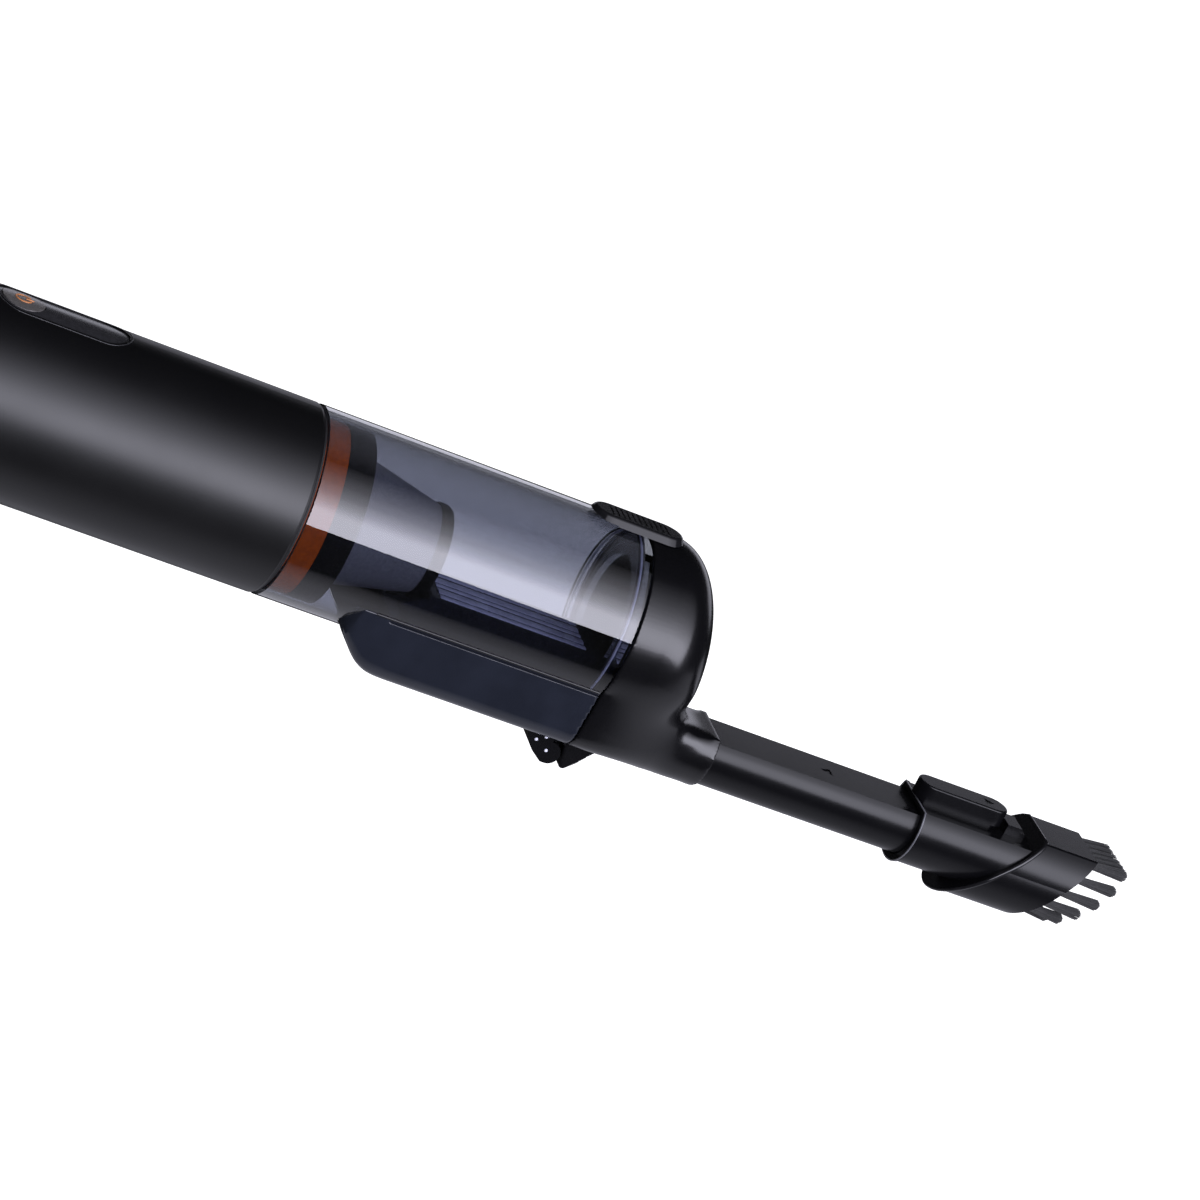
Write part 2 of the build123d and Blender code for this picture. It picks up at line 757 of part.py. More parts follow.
def head_shell():
    """The head: dome, neck and collar in one shell, with its opening to the cup, its duct and its hinge lug."""
    outside = dome() + neck() + d_bar(296.0, collar_front, collar_radius, collar_flat)
    room = bar(head_rear - 1, head_rear + 3, cup_end_hole) + bar(head_rear + 2, dome_start, body_radius - head_wall)
    room += dome(head_wall) & bar(head_rear + 2, 320, body_radius)
    room -= block(200, 320, -40, 40, -60, floor_top + 0.6)
    passage = neck(head_wall) - block(200, 320, -40, 40, floor_top - head_wall, 0)
    shell = outside - room - passage
    shell -= d_bar(collar_front - tube_spigot_length, collar_front + 1, tube_radius + 0.02, tube_flat + 0.02)
    shell -= bar(neck_rear, collar_front, tube_radius - tube_wall, z=tube_z) & block(
        200, 320, -20, 20, -60, tube_flat - tube_wall)
    shell -= block(head_rear - 1, head_rear + 3, -17.0, 17.0, duct_bottom + head_wall, floor_top - head_wall)
    shell -= pipe(head_rear - 1, head_rear + 0.8, 26.6, 24.6) - block(200, 320, -40, 40, -60, floor_top + 1.0)
    lug = side_prism([
        (hinge_x + 0.6, -36.5),
        (hinge_x + 0.6, -41.0),
        (hinge_x + 3.6, -41.0),
        (hinge_x + 4.6, -48.2),
        (hinge_x + 5.4, -49.4),
        (hinge_x + 6.6, -49.2),
        (hinge_x + 9.8, -46.0),
        (hinge_x + 12.4, -42.6),
        (hinge_x + 15.6, -38.8),
        (hinge_x + 15.6, -36.5),
    ], 0.5 * hinge_pin_length) - passage
    lug -= cross_bar(hinge_x, hinge_z, hinge_barrel + 0.5, hinge_pin_length)
    knuckle = cross_bar(hinge_x, hinge_z, hinge_barrel, centre_knuckle)
    web = side_prism([
        (hinge_x + 0.6, -37.0),
        (hinge_x + 0.6, -44.0),
        (hinge_x + 3.4, -46.8),
        (hinge_x + 8.0, -43.0),
        (hinge_x + 11.0, -39.0),
        (hinge_x + 11.0, -37.0),
    ], centre_knuckle) - passage
    shell += lug + knuckle + web
    shell -= cross_bar(flap_x, flap_z, flap_pin_radius, flap_pin_half_length)
    return shell - cross_bar(hinge_x, hinge_z, hinge_pin_radius + run_gap, 20)


def head_seal():
    """The rubber ring between cup and head, in the head's groove."""
    ring = pipe(head_rear - 0.1, head_rear + 0.8, 26.6, 24.6)
    return ring - block(200, 320, -40, 40, -60, floor_top + 1.0)


def inlet_flap():
    """The valve flap in the head's duct, hung from its top edge."""
    flap = block(flap_x - 0.6, flap_x + 0.6, -flap_half_width, flap_half_width, duct_bottom + 3.4, flap_z)
    roll = cross_bar(flap_x, flap_z, 1.2, flap_half_width)
    return flap + roll - cross_bar(flap_x, flap_z, flap_pin_radius + run_gap, 20)


def flap_pin():
    """The wire the flap swings on, held in the duct's side walls."""
    return cross_bar(flap_x, flap_z, flap_pin_radius, flap_pin_half_length)


# ---------------------------------------------------------------- crevice tube
def crevice_tube():
    """The long tube, pushed into the collar: a flat-topped section with a slanted open end."""
    rear = collar_front - tube_spigot_length + 0.3
    outside = d_bar(rear, 460, tube_radius - 0.35, tube_flat - 0.35)
    outside += d_bar(collar_front + 0.3, 460, tube_radius, tube_flat)
    outside -= ahead_of(tube_front_top, tube_front_bottom, tube_flat, tube_z - tube_radius)
    inside = d_bar(rear - 1, 461, tube_radius - tube_wall, tube_flat - tube_wall)
    tube = outside - inside
    mark = make_face(Polyline((345.5, 0), (349.5, 2.2), (349.5, -2.2), close=True))
    return tube - Pos(0, 0, tube_flat - 0.3) * extrude(mark, 1.0)


def tube_seal():
    """The rubber ring round the tube's plug, inside the collar."""
    x0 = collar_front - 10.0
    ring = d_bar(x0, x0 + 1.6, tube_radius, tube_flat)
    return ring - d_bar(x0 - 1, x0 + 3, tube_radius - 0.34, tube_flat - 0.34)


# ---------------------------------------------------------------- brush
def brush_sleeve():
    """The sleeve that slides on the tube, cut off at a slant in front."""
    sleeve = d_bar(sleeve_rear, 450, sleeve_outer, sleeve_flat)
    sleeve += d_bar(sleeve_rear, sleeve_rear + 1.2, sleeve_outer + 0.4, sleeve_flat + 0.3)
    sleeve -= d_bar(sleeve_rear - 1, 451, sleeve_inner, tube_flat + 0.4)
    sleeve -= ahead_of(brush_seam_top + 0.4, brush_seam_bottom + 0.4, sleeve_flat, tube_z - sleeve_outer)
    seat = pill(release_rear + 1.7, release_front - 1.7, release_half_width - 1.6, sleeve_flat - 0.1, sleeve_flat + 3.2)
    well = pill(release_rear + 2.8, release_front - 2.8, release_half_width - 2.6, release_floor, sleeve_flat + 4)
    return sleeve + seat - well


def brush_rail():
    """The stop block on the sleeve ahead of the release button, with a low rib in front of it."""
    stop = block(release_front + 0.8, release_front + 6.0, -4.6, 4.6, sleeve_flat, sleeve_flat + 3.4)
    return stop + block(release_front + 6.0, release_front + 8.4, -3.4, 3.4, sleeve_flat, sleeve_flat + 1.6)


def tip_section():
    """The brush head's outline across X: round below, and widened to a flat top with soft corners."""
    low, high = tip_z + 2.5, tip_flat
    drop = high - low
    inset = tip_radius - tip_top_half_width
    bulge = (inset * inset + drop * drop) / (2 * inset)
    half_turn = 0.5 * asin(drop / bulge)
    middle_y = tip_radius - bulge + bulge * cos(half_turn)
    middle_z = low + bulge * sin(half_turn)
    outline = [
        Line((-tip_top_half_width, high), (tip_top_half_width, high)),
        ThreePointArc((tip_top_half_width, high), (middle_y, middle_z), (tip_radius, low)),
        Line((tip_radius, low), (-tip_radius, low)),
        ThreePointArc((-tip_radius, low), (-middle_y, middle_z), (-tip_top_half_width, high)),
    ]
    shoulder = make_face(outline)
    shoulder = fillet(shoulder.vertices().group_by(Axis.Y)[-1], 1.2)
    round_part = Pos(0, tip_z) * Circle(tip_radius) - Pos(0, tip_flat + tip_radius) * Rectangle(
        4 * tip_radius, 2 * tip_radius)
    return round_part + shoulder


def brush_tip():
    """The brush head: a larger flat-topped shell with a slanted rear rim and a slanted open front."""
    outside = extrude(across_at(brush_seam_bottom - 20) * tip_section(), 90)
    outside -= ahead_of(tip_front_top, tip_front_bottom, tip_flat, tip_z - tip_radius)
    keep = ahead_of(brush_seam_top + 0.4, brush_seam_bottom + 0.4, sleeve_flat, tube_z - sleeve_outer)
    inside = d_bar(brush_seam_bottom - 21, 471, sleeve_inner, tube_flat + 0.4)
    tip = (outside & keep) - inside
    for hole in tuft_bars(tuft_radius + 0.01):
        tip -= hole
    return tip


def tuft_places():
    """Where each tuft stands: a row across the top and a fan down each side, as (y, z)."""
    spread = tube_radius + tuft_radius + 0.4
    places = [(3.5 * i, tube_flat + tuft_radius + 1.6) for i in (-2.5, -1.5, -0.5, 0.5, 1.5, 2.5)]
    for angle in (68, 92, 116, 141, 166):
        for side in (-1, 1):
            places.append((side * spread * sin(radians(angle)), tube_z - 0.6 + spread * cos(radians(angle))))
    return places


def tuft_bars(radius):
    """One bar for each tuft, from inside the slanted rim to its free end."""
    lean = (tip_front_top - tip_front_bottom) / (tip_flat - tip_z + tip_radius)
    bars = []
    for y, z in tuft_places():
        rim = tip_front_bottom + lean * (z - tip_z + tip_radius)
        bars.append(bar(rim - tuft_root, rim + tuft_reach, radius, y, z))
    return bars


def bristle_tufts():
    """The tufts of bristle set in the brush head's front rim."""
    return Compound(children=tuft_bars(tuft_radius))


def release_button():
    """The pill-shaped release button, hollow below, over its seat on the sleeve."""
    cap = pill(release_rear, release_front, release_half_width, sleeve_flat + 1.3, release_top)
    cap = fillet(cap.faces().sort_by(Axis.Z)[-1].edges(), 0.6)
    hollow = pill(release_rear + 1.2, release_front - 1.2, release_half_width - 1.2, sleeve_flat, release_ceiling)
    mark = make_face(Polyline((405.6, 0), (402.0, 2.0), (402.0, -2.0), close=True))
    return cap - hollow - Pos(0, 0, release_top - 0.3) * extrude(mark, 1.0)


def release_spring():
    """The coil spring in the sleeve's well, under the release button."""
    height = release_ceiling - release_floor - 0.6
    path = Helix(pitch=height / 4, height=height, radius=2.0)
    coil = sweep(Plane(origin=path @ 0, z_dir=path % 0) * Circle(0.2), path)
    return Pos(0.5 * (release_rear + release_front), 0, release_floor + 0.3) * coil


# ---------------------------------------------------------------- writing the nodes
node_makers = [
    main_housing, rear_cap, exhaust_foam, charge_port, charge_board, battery_cells, cell_holders, cell_strips,
    control_board, board_posts, tact_switch, status_lamps, control_panel, power_button, button_spring,
    motor_can, motor_stator, motor_bearings, motor_rotor, fan_wheel, fan_shroud, motor_mount, driver_board,
    motor_brace, front_bulkhead, lock_ring, cup_seal, housing_screws,
    filter_frame, filter_cone, filter_pleats, filter_end_ring,
    cup_shell, duct_shell, cup_floor, hinge_bracket, hinge_pin, hinge_screws, latch_base, latch_button,
    latch_pin, latch_spring, head_shell, head_seal, inlet_flap, flap_pin,
    crevice_tube, tube_seal, brush_sleeve, brush_rail, brush_tip, bristle_tufts, release_button, release_spring,
]

os.makedirs("parts", exist_ok=True)
for maker in node_makers:
    solid = maker()
    solid.label = maker.__name__
    export_step(solid, f"parts/{maker.__name__}.step")
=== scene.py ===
import math

import bmesh
import bpy
import numpy as np
from mathutils import Matrix, Vector


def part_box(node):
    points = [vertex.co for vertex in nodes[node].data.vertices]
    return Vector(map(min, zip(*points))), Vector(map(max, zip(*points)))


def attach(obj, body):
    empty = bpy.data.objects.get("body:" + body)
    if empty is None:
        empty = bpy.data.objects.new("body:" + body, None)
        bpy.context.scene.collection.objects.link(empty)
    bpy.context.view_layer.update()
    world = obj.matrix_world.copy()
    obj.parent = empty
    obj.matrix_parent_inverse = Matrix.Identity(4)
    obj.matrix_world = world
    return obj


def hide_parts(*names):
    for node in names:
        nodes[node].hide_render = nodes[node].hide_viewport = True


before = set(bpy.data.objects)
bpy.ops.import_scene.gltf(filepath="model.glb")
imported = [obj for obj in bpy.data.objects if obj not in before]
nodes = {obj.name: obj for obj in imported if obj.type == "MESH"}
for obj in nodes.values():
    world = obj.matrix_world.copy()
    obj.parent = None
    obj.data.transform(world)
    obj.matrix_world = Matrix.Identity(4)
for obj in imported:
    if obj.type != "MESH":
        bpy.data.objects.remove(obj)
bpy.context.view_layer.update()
scene = bpy.context.scene

# Everything is in metres, in the frame of the CAD: the origin is the centre of the flat rear face, +X runs to the
# nozzle and +Z out through the power button.
MM = 0.001

# How bright the white surroundings are. Seen straight or through clear plastic, they are at 1.
MIRRORED_WORLD = 0.01     # in a mirror reflection
INSIDE_WORLD = 0.1        # in a reflection inside the clear plastic
FAR_WORLD = 0.6           # in such a reflection, towards the far side
GATHERED_WORLD = 0.4      # to a surface that scatters light
FAR_SIDE = (0.0, 0.83, 0.55)
FAR_FADE = (0.35, 0.75)   # the cosines of the angle to FAR_SIDE between which FAR_WORLD fades in

FLOOR_HEIGHT = -0.45
FLOOR_HALF_SIZE = 20.0
FLOOR_GLOW = 0.75         # lifts the floor to white without more light on the object
AIM = (0.25364, 0.0, 0.00376)
LIT_MIDDLE = (0.25, 0.0, 0.0)
LIGHT_COLOUR = (0.87, 0.87, 1.0)

# Sizes of the CAD that the pieces below follow, in mm. Heights are Z, and each half width is along Y.
BODY_RADIUS = 30.0
PANEL_REAR, PANEL_FRONT, PANEL_HALF = 45.2, 88.1, 9.3
BUTTON_X, BUTTON_TOP_RADIUS = 54.5, 29.7
CUP_RIM_X, CUP_RIM_LOWEST = 254.7, -15.0
RIDGE_TOP, RIDGE_REAR, RIDGE_FRONT = -8.95, 203.5, 252.6
TUBE_Z, TUBE_FLAT, TUBE_RADIUS = -29.9, -23.8, 11.6
SLEEVE_REAR, SLEEVE_FLAT, SLEEVE_RADIUS = 379.65, -22.0, 13.8
TIP_TOP, TIP_SHOULDER, TIP_ROUND_Z = -18.4, -30.1, -32.6      # the brush head's flat top, bowed sides and round base
TIP_TOP_HALF, TIP_HALF = 10.6, 15.3
TIP_REAR_X = (399.3, 419.0)       # its slanted rear rim, at the bottom and top of the sleeve
TIP_FRONT_X = (423.5, 442.8)      # its slanted front rim, at its own bottom and top


# ---------------------------------------------------------------- camera, floor and light
def add_camera(aim, azimuth, elevation, roll, distance, lens):
    """A camera that looks at a point, turned about its own line of sight by roll degrees."""
    a, e, r = (math.radians(v) for v in (azimuth, elevation, roll))
    back = Vector((math.sin(a) * math.cos(e), -math.cos(a) * math.cos(e), math.sin(e)))
    right = (-back).cross(Vector((0, 0, 1))).normalized()
    up = right.cross(-back)
    across = right * math.cos(r) + up * math.sin(r)
    along = -right * math.sin(r) + up * math.cos(r)
    place = Matrix((across, along, back)).transposed().to_4x4()
    place.translation = Vector(aim) + back * distance
    data = bpy.data.cameras.new("camera")
    data.lens = lens
    data.sensor_width = 36.0
    data.clip_start = 0.05
    data.clip_end = 50.0
    camera = bpy.data.objects.new("camera", data)
    camera.matrix_world = place
    scene.collection.objects.link(camera)
    scene.camera = camera


def towards(angle, distance, ahead=0.36):
    """A point round the object's long axis: 0 degrees is the near side, level, and 90 straight above.

    ahead is the share of the distance that goes towards the nozzle.
    """
    a = math.radians(angle)
    side = math.sqrt(1 - ahead * ahead)
    return (LIT_MIDDLE[0] + distance * ahead, -distance * side * math.cos(a), distance * side * math.sin(a))


def add_softbox(name, centre, width, height, brightness, falloff=None):
    """An area light that faces the object, its width along X. falloff gives its strength up its height."""
    data = bpy.data.lights.new(name, "AREA")
    data.shape = "RECTANGLE"
    data.size = width
    data.size_y = height
    data.energy = brightness * math.pi * width * height
    data.color = LIGHT_COLOUR
    if falloff:
        data.use_nodes = True
        tree = data.node_tree
        emission = tree.nodes["Emission"]
        geometry = tree.nodes.new("ShaderNodeNewGeometry")
        split = tree.nodes.new("ShaderNodeSeparateXYZ")
        ramp = tree.nodes.new("ShaderNodeValToRGB")
        fill_ramp(ramp, falloff)
        tree.links.new(geometry.outputs["Parametric"], split.inputs[0])
        tree.links.new(split.outputs["Y"], ramp.inputs[0])
        tree.links.new(ramp.outputs["Color"], emission.inputs["Strength"])
    light = bpy.data.objects.new(name, data)
    light.location = centre
    back = (Vector(centre) - Vector(LIT_MIDDLE)).normalized()
    across = (Vector((1, 0, 0)) - back * back.x).normalized()
    light.rotation_mode = "QUATERNION"
    light.rotation_quaternion = Matrix((across, back.cross(across), back)).transposed().to_quaternion()
    light.visible_camera = False
    light.visible_transmission = False
    scene.collection.objects.link(light)


def fill_ramp(ramp, stops):
    """Sets a colour ramp's stops, each (position, grey or colour)."""
    elements = ramp.color_ramp.elements
    while len(elements) < len(stops):
        elements.new(0.5)
    for element, (position, value) in zip(elements, stops):
        element.position = position
        element.color = (value, value, value, 1) if isinstance(value, (int, float)) else (*value, 1)


def bounced(tree):
    """The light path node, and a socket: 1 for a ray mirrored or scattered on its way, 0 for one only refracted."""
    path = tree.nodes.new("ShaderNodeLightPath")
    total = tree.nodes.new("ShaderNodeMath")
    total.operation = "ADD"
    total.use_clamp = True
    tree.links.new(path.outputs["Glossy Depth"], total.inputs[0])
    tree.links.new(path.outputs["Diffuse Depth"], total.inputs[1])
    return path, total.outputs[0]


def add_floor():
    """A plain pale floor. Rays that have bounced pass through it, so it throws no light back up."""
    mesh = bpy.data.meshes.new("floor")
    corners = [(x * FLOOR_HALF_SIZE, y * FLOOR_HALF_SIZE, FLOOR_HEIGHT)
               for x, y in ((-1, -1), (1, -1), (1, 1), (-1, 1))]
    mesh.from_pydata(corners, [], [(0, 1, 2, 3)])
    floor = bpy.data.objects.new("floor", mesh)
    scene.collection.objects.link(floor)
    material = bpy.data.materials.new("floor")
    material.use_nodes = True
    tree = material.node_tree
    shader = tree.nodes["Principled BSDF"]
    shader.inputs["Base Color"].default_value = (0.9, 0.9, 0.9, 1)
    shader.inputs["Roughness"].default_value = 1.0
    shader.inputs["Specular IOR Level"].default_value = 0.0
    shader.inputs["Emission Color"].default_value = (1, 1, 1, 1)
    shader.inputs["Emission Strength"].default_value = FLOOR_GLOW
    passes = tree.nodes.new("ShaderNodeBsdfTransparent")
    mix = tree.nodes.new("ShaderNodeMixShader")
    tree.links.new(bounced(tree)[1], mix.inputs[0])
    tree.links.new(shader.outputs[0], mix.inputs[1])
    tree.links.new(passes.outputs[0], mix.inputs[2])
    tree.links.new(mix.outputs[0], tree.nodes["Material Output"].inputs["Surface"])
    mesh.materials.append(material)


def add_world():
    """White where it is seen straight or through the clear plastic, and dim for rays that have bounced."""
    world = bpy.data.worlds.new("studio")
    scene.world = world
    world.use_nodes = True
    world.cycles.sampling_method = "NONE"
    tree = world.node_tree
    background = tree.nodes["Background"]
    background.inputs["Color"].default_value = (1, 1, 1, 1)
    path, turned = bounced(tree)
    aim = tree.nodes.new("ShaderNodeTexCoord")
    facing = tree.nodes.new("ShaderNodeVectorMath")
    facing.operation = "DOT_PRODUCT"
    facing.inputs[1].default_value = FAR_SIDE
    tree.links.new(aim.outputs["Generated"], facing.inputs[0])
    far = tree.nodes.new("ShaderNodeMapRange")
    far.inputs["From Min"].default_value, far.inputs["From Max"].default_value = FAR_FADE
    far.inputs["To Min"].default_value = INSIDE_WORLD
    far.inputs["To Max"].default_value = FAR_WORLD
    tree.links.new(facing.outputs["Value"], far.inputs["Value"])
    inside = tree.nodes.new("ShaderNodeMapRange")
    inside.inputs["To Min"].default_value = MIRRORED_WORLD
    tree.links.new(far.outputs[0], inside.inputs["To Max"])
    tree.links.new(path.outputs["Is Transmission Ray"], inside.inputs["Value"])
    dimmed = tree.nodes.new("ShaderNodeMapRange")
    dimmed.inputs["To Max"].default_value = GATHERED_WORLD
    tree.links.new(inside.outputs[0], dimmed.inputs["To Min"])
    tree.links.new(path.outputs["Is Diffuse Ray"], dimmed.inputs["Value"])
    level = tree.nodes.new("ShaderNodeMapRange")
    level.inputs["To Min"].default_value = 1.0
    tree.links.new(turned, level.inputs["Value"])
    tree.links.new(dimmed.outputs[0], level.inputs["To Max"])
    tree.links.new(level.outputs[0], background.inputs["Strength"])


add_camera(AIM, azimuth=-20.857, elevation=17.445, roll=26.574, distance=1.2208, lens=120.0)
add_floor()
add_world()
add_softbox("key", towards(38, 1.5), width=2.4, height=2.34, brightness=7.2, falloff=(
    (0.0, 1.0), (0.29, 1.0), (0.41, 0.60), (0.545, 0.30), (0.684, 0.15), (0.84, 0.06), (1.0, 0.01)))
add_softbox("rim", towards(172, 1.6), width=2.4, height=0.42, brightness=0.9)
add_softbox("under", towards(-95, 0.42), width=1.4, height=0.84, brightness=0.5, falloff=(
    (0.0, 1.0), (0.73, 1.0), (0.92, 0.5), (1.0, 0.1)))
scene.view_settings.view_transform = "Standard"


# ---------------------------------------------------------------- materials
def new_material(name, colour, roughness, **sockets):
    """A Principled material with its plain values set straight on the shader."""
    material = bpy.data.materials.new(name)
    material.use_nodes = True
    shader = material.node_tree.nodes["Principled BSDF"]
    shader.inputs["Base Color"].default_value = (*colour, 1)
    shader.inputs["Roughness"].default_value = roughness
    for key, value in sockets.items():
        shader.inputs[key.replace("_", " ")].default_value = value
    return material


def noise(material, scale, detail):
    """A noise texture in the object's own space. scale is features per metre."""
    tree = material.node_tree
    place = tree.nodes.new("ShaderNodeTexCoord")
    made = tree.nodes.new("ShaderNodeTexNoise")
    made.inputs["Scale"].default_value = scale
    made.inputs["Detail"].default_value = detail
    tree.links.new(place.outputs["Object"], made.inputs["Vector"])
    return made.outputs[0]


def ramp_after(material, source, stops):
    """The source's value as a colour from these stops."""
    ramp = material.node_tree.nodes.new("ShaderNodeValToRGB")
    fill_ramp(ramp, stops)
    material.node_tree.links.new(source, ramp.inputs[0])
    return ramp.outputs["Color"]


def drive(material, socket, source):
    """Link the source to a socket of the material's shader."""
    material.node_tree.links.new(source, material.node_tree.nodes["Principled BSDF"].inputs[socket])


def add_bump(material, source, depth):
    """A bump depth metres deep."""
    tree = material.node_tree
    bump = tree.nodes.new("ShaderNodeBump")
    bump.inputs["Distance"].default_value = depth
    bump.inputs["Strength"].default_value = 1.0
    tree.links.new(source, bump.inputs["Height"])
    drive(material, "Normal", bump.outputs[0])


def moulded(name, colour, roughness, grain=0.25, depth=0.006, spread=0.05, **sockets):
    """Moulded plastic: a fine even grain (mm), slow changes of sheen, and slight changes of shade."""
    sheen_size, tint = 22, 0.12
    material = new_material(name, colour, roughness, **sockets)
    add_bump(material, noise(material, 1 / (grain * MM), 3.0), depth * MM)
    slow = noise(material, 1 / (sheen_size * MM), 3.0)
    drive(material, "Roughness", ramp_after(material, slow, ((0.3, roughness - spread), (0.7, roughness + spread))))
    shade = noise(material, 1 / (grain * 3 * MM), 2.0)
    darker = tuple(c * (1 - tint) for c in colour)
    lighter = tuple(c * (1 + tint) for c in colour)
    drive(material, "Base Color", ramp_after(material, shade, ((0.35, darker), (0.65, lighter))))
    return material


def clear(name, colour, roughness=0.015):
    """Clear plastic that lets lamps through to what is inside it."""
    material = new_material(name, colour, roughness, Transmission_Weight=1.0, IOR=1.45, Coat_Weight=1.0,
                            Coat_Roughness=roughness)
    tree = material.node_tree
    flow_size, flow_depth = 14, 0.006
    add_bump(material, noise(material, 1 / (flow_size * MM), 1.0), flow_depth * MM)
    path = tree.nodes.new("ShaderNodeLightPath")
    passes = tree.nodes.new("ShaderNodeBsdfTransparent")
    passes.inputs[0].default_value = (*[c ** 0.5 for c in colour], 1)
    mix = tree.nodes.new("ShaderNodeMixShader")
    tree.links.new(path.outputs["Is Shadow Ray"], mix.inputs[0])
    tree.links.new(tree.nodes["Principled BSDF"].outputs[0], mix.inputs[1])
    tree.links.new(passes.outputs[0], mix.inputs[2])
    tree.links.new(mix.outputs[0], tree.nodes["Material Output"].inputs["Surface"])
    return material


def use(material, *names):
    """Give a material to these CAD nodes."""
    for name in names:
        for entry in nodes[name].material_slots:
            entry.link = "OBJECT"
            entry.material = material


black_matte = moulded("black_matte", (0.0022, 0.0022, 0.0027), 0.38, grain=0.25, depth=0.003, spread=0.02)
black_satin = moulded("black_satin", (0.0025, 0.0025, 0.0032), 0.21, grain=0.3, depth=0.0012, spread=0.02)
black_gloss = moulded("black_gloss", (0.02, 0.02, 0.023), 0.22, grain=0.6, depth=0.0008, spread=0.02)
black_polish = moulded("black_polish", (0.006, 0.006, 0.007), 0.11, grain=0.6, depth=0.0005, spread=0.02)
black_brush = moulded("black_brush", (0.0025, 0.0025, 0.0032), 0.24, grain=0.3, depth=0.0012, spread=0.02,
                      Specular_IOR_Level=0.26)
hair = moulded("hair", (0.040, 0.040, 0.041), 0.65, grain=0.2, depth=0.001, spread=0.04, Specular_IOR_Level=0.2)
rubber = moulded("rubber", (0.014, 0.014, 0.014), 0.65, grain=0.6, depth=0.01)
foam = moulded("foam", (0.05, 0.05, 0.052), 0.90, grain=0.9, depth=0.5)
grey_plastic = moulded("grey_plastic", (0.12, 0.12, 0.13), 0.45)
mesh_grey = moulded("mesh_grey", (0.19, 0.19, 0.20), 0.55, grain=0.3, depth=0.004)
# A grey that stands for light: the painted highlight along the sleeve's rear rim.
edge_painted_highlight = moulded("edge_painted_highlight", (0.09, 0.09, 0.105), 0.25, grain=0.4, depth=0.0008, spread=0.02)
button_grey = moulded("button_grey", (0.20, 0.19, 0.19), 0.32, grain=0.3, Metallic=0.6)
orange = moulded("orange", (0.56, 0.095, 0.004), 0.25, grain=0.4, depth=0.001, Coat_Weight=1.0, Coat_Roughness=0.08)
mark_orange = moulded("mark_orange", (0.42, 0.16, 0.05), 0.35, grain=0.3, depth=0.0008, spread=0.02)
# Pale lavender: a painted highlight on the cup's rim ring, and the own pale colour of the hinge screw heads.
pale_and_painted_highlight = moulded("pale_and_painted_highlight", (0.62, 0.63, 0.74), 0.25, grain=0.6, depth=0.0008, spread=0.02)
# Pale lavender that stands for light: a painted reflection of the lamp on the raised part of the cup's floor.
ridge_painted_highlight = moulded("ridge_painted_highlight", (0.60, 0.62, 0.78), 0.25, grain=1.5, depth=0.002, spread=0.03)
paper = moulded("paper", (0.70, 0.70, 0.67), 0.9, grain=0.2, depth=0.02)
lamp = moulded("lamp", (0.7, 0.7, 0.65), 0.3, grain=0.5)
wrap = moulded("wrap", (0.02, 0.10, 0.20), 0.25, grain=1.0)
board = moulded("board", (0.01, 0.08, 0.03), 0.35, grain=1.0)
steel = moulded("steel", (0.55, 0.55, 0.56), 0.28, grain=0.3, Metallic=1.0)
nickel = moulded("nickel", (0.70, 0.68, 0.64), 0.20, grain=0.5, Metallic=1.0)
copper = moulded("copper", (0.55, 0.24, 0.11), 0.35, grain=0.4, Metallic=1.0)
smoke = clear("smoke", (0.345, 0.36, 0.43))
dark_smoke = moulded("dark_smoke", (0.0125, 0.0145, 0.022), 0.10, grain=4.0, depth=0.002, spread=0.02,
                     Transmission_Weight=0.12)
floor_gloss = moulded("floor_gloss", (0.010, 0.011, 0.017), 0.12, grain=3.0, depth=0.0015, spread=0.02)

use(black_matte, "main_housing", "rear_cap")
use(black_satin, "front_bulkhead", "filter_frame", "filter_end_ring", "hinge_bracket", "latch_base", "hinge_pin")
use(black_brush, "crevice_tube", "brush_sleeve", "brush_rail", "brush_tip", "release_button")
use(black_gloss, "control_panel")
use(button_grey, "power_button")
use(orange, "lock_ring")
use(grey_plastic, "cell_holders", "board_posts", "fan_wheel", "fan_shroud", "motor_brace")
use(rubber, "motor_mount", "cup_seal", "head_seal", "inlet_flap", "tube_seal")
use(steel, "charge_port", "tact_switch", "button_spring", "motor_can", "motor_bearings", "motor_rotor",
    "housing_screws", "latch_pin", "latch_spring", "flap_pin", "release_spring")
use(nickel, "cell_strips")
use(copper, "motor_stator")
use(foam, "exhaust_foam")
use(wrap, "battery_cells")
use(board, "charge_board", "control_board", "driver_board")
use(lamp, "status_lamps")
use(paper, "filter_pleats")
use(mesh_grey, "filter_cone")
use(smoke, "cup_shell")
use(floor_gloss, "cup_floor")


# ---------------------------------------------------------------- pieces that stand for CAD nodes
def new_piece(name, mesh, material, body, smooth=True):
    """An object from a mesh in the CAD's frame, riding on a body."""
    mesh.materials.clear()
    mesh.materials.append(material)
    if smooth:
        mesh.polygons.foreach_set("use_smooth", [True] * len(mesh.polygons))
    piece = bpy.data.objects.new(name, mesh)
    scene.collection.objects.link(piece)
    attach(piece, body)
    return piece


def evaluated(holder):
    """The mesh that an object's modifiers or curve make. The object itself is removed."""
    scene.collection.objects.link(holder)
    graph = bpy.context.evaluated_depsgraph_get()
    made = bpy.data.meshes.new_from_object(holder.evaluated_get(graph), depsgraph=graph)
    bpy.data.objects.remove(holder)
    return made


def finished(form, name):
    """A mesh from a bmesh, which is freed."""
    mesh = bpy.data.meshes.new(name)
    form.to_mesh(mesh)
    form.free()
    return mesh


def read_points(mesh):
    """The mesh's vertices as rows of x, y and z."""
    flat = np.zeros(len(mesh.vertices) * 3, np.float32)
    mesh.vertices.foreach_get("co", flat)
    return flat.reshape(-1, 3)


def write_points(mesh, points):
    """Move the mesh's vertices to these rows of x, y and z."""
    mesh.vertices.foreach_set("co", points.ravel())
    mesh.update()


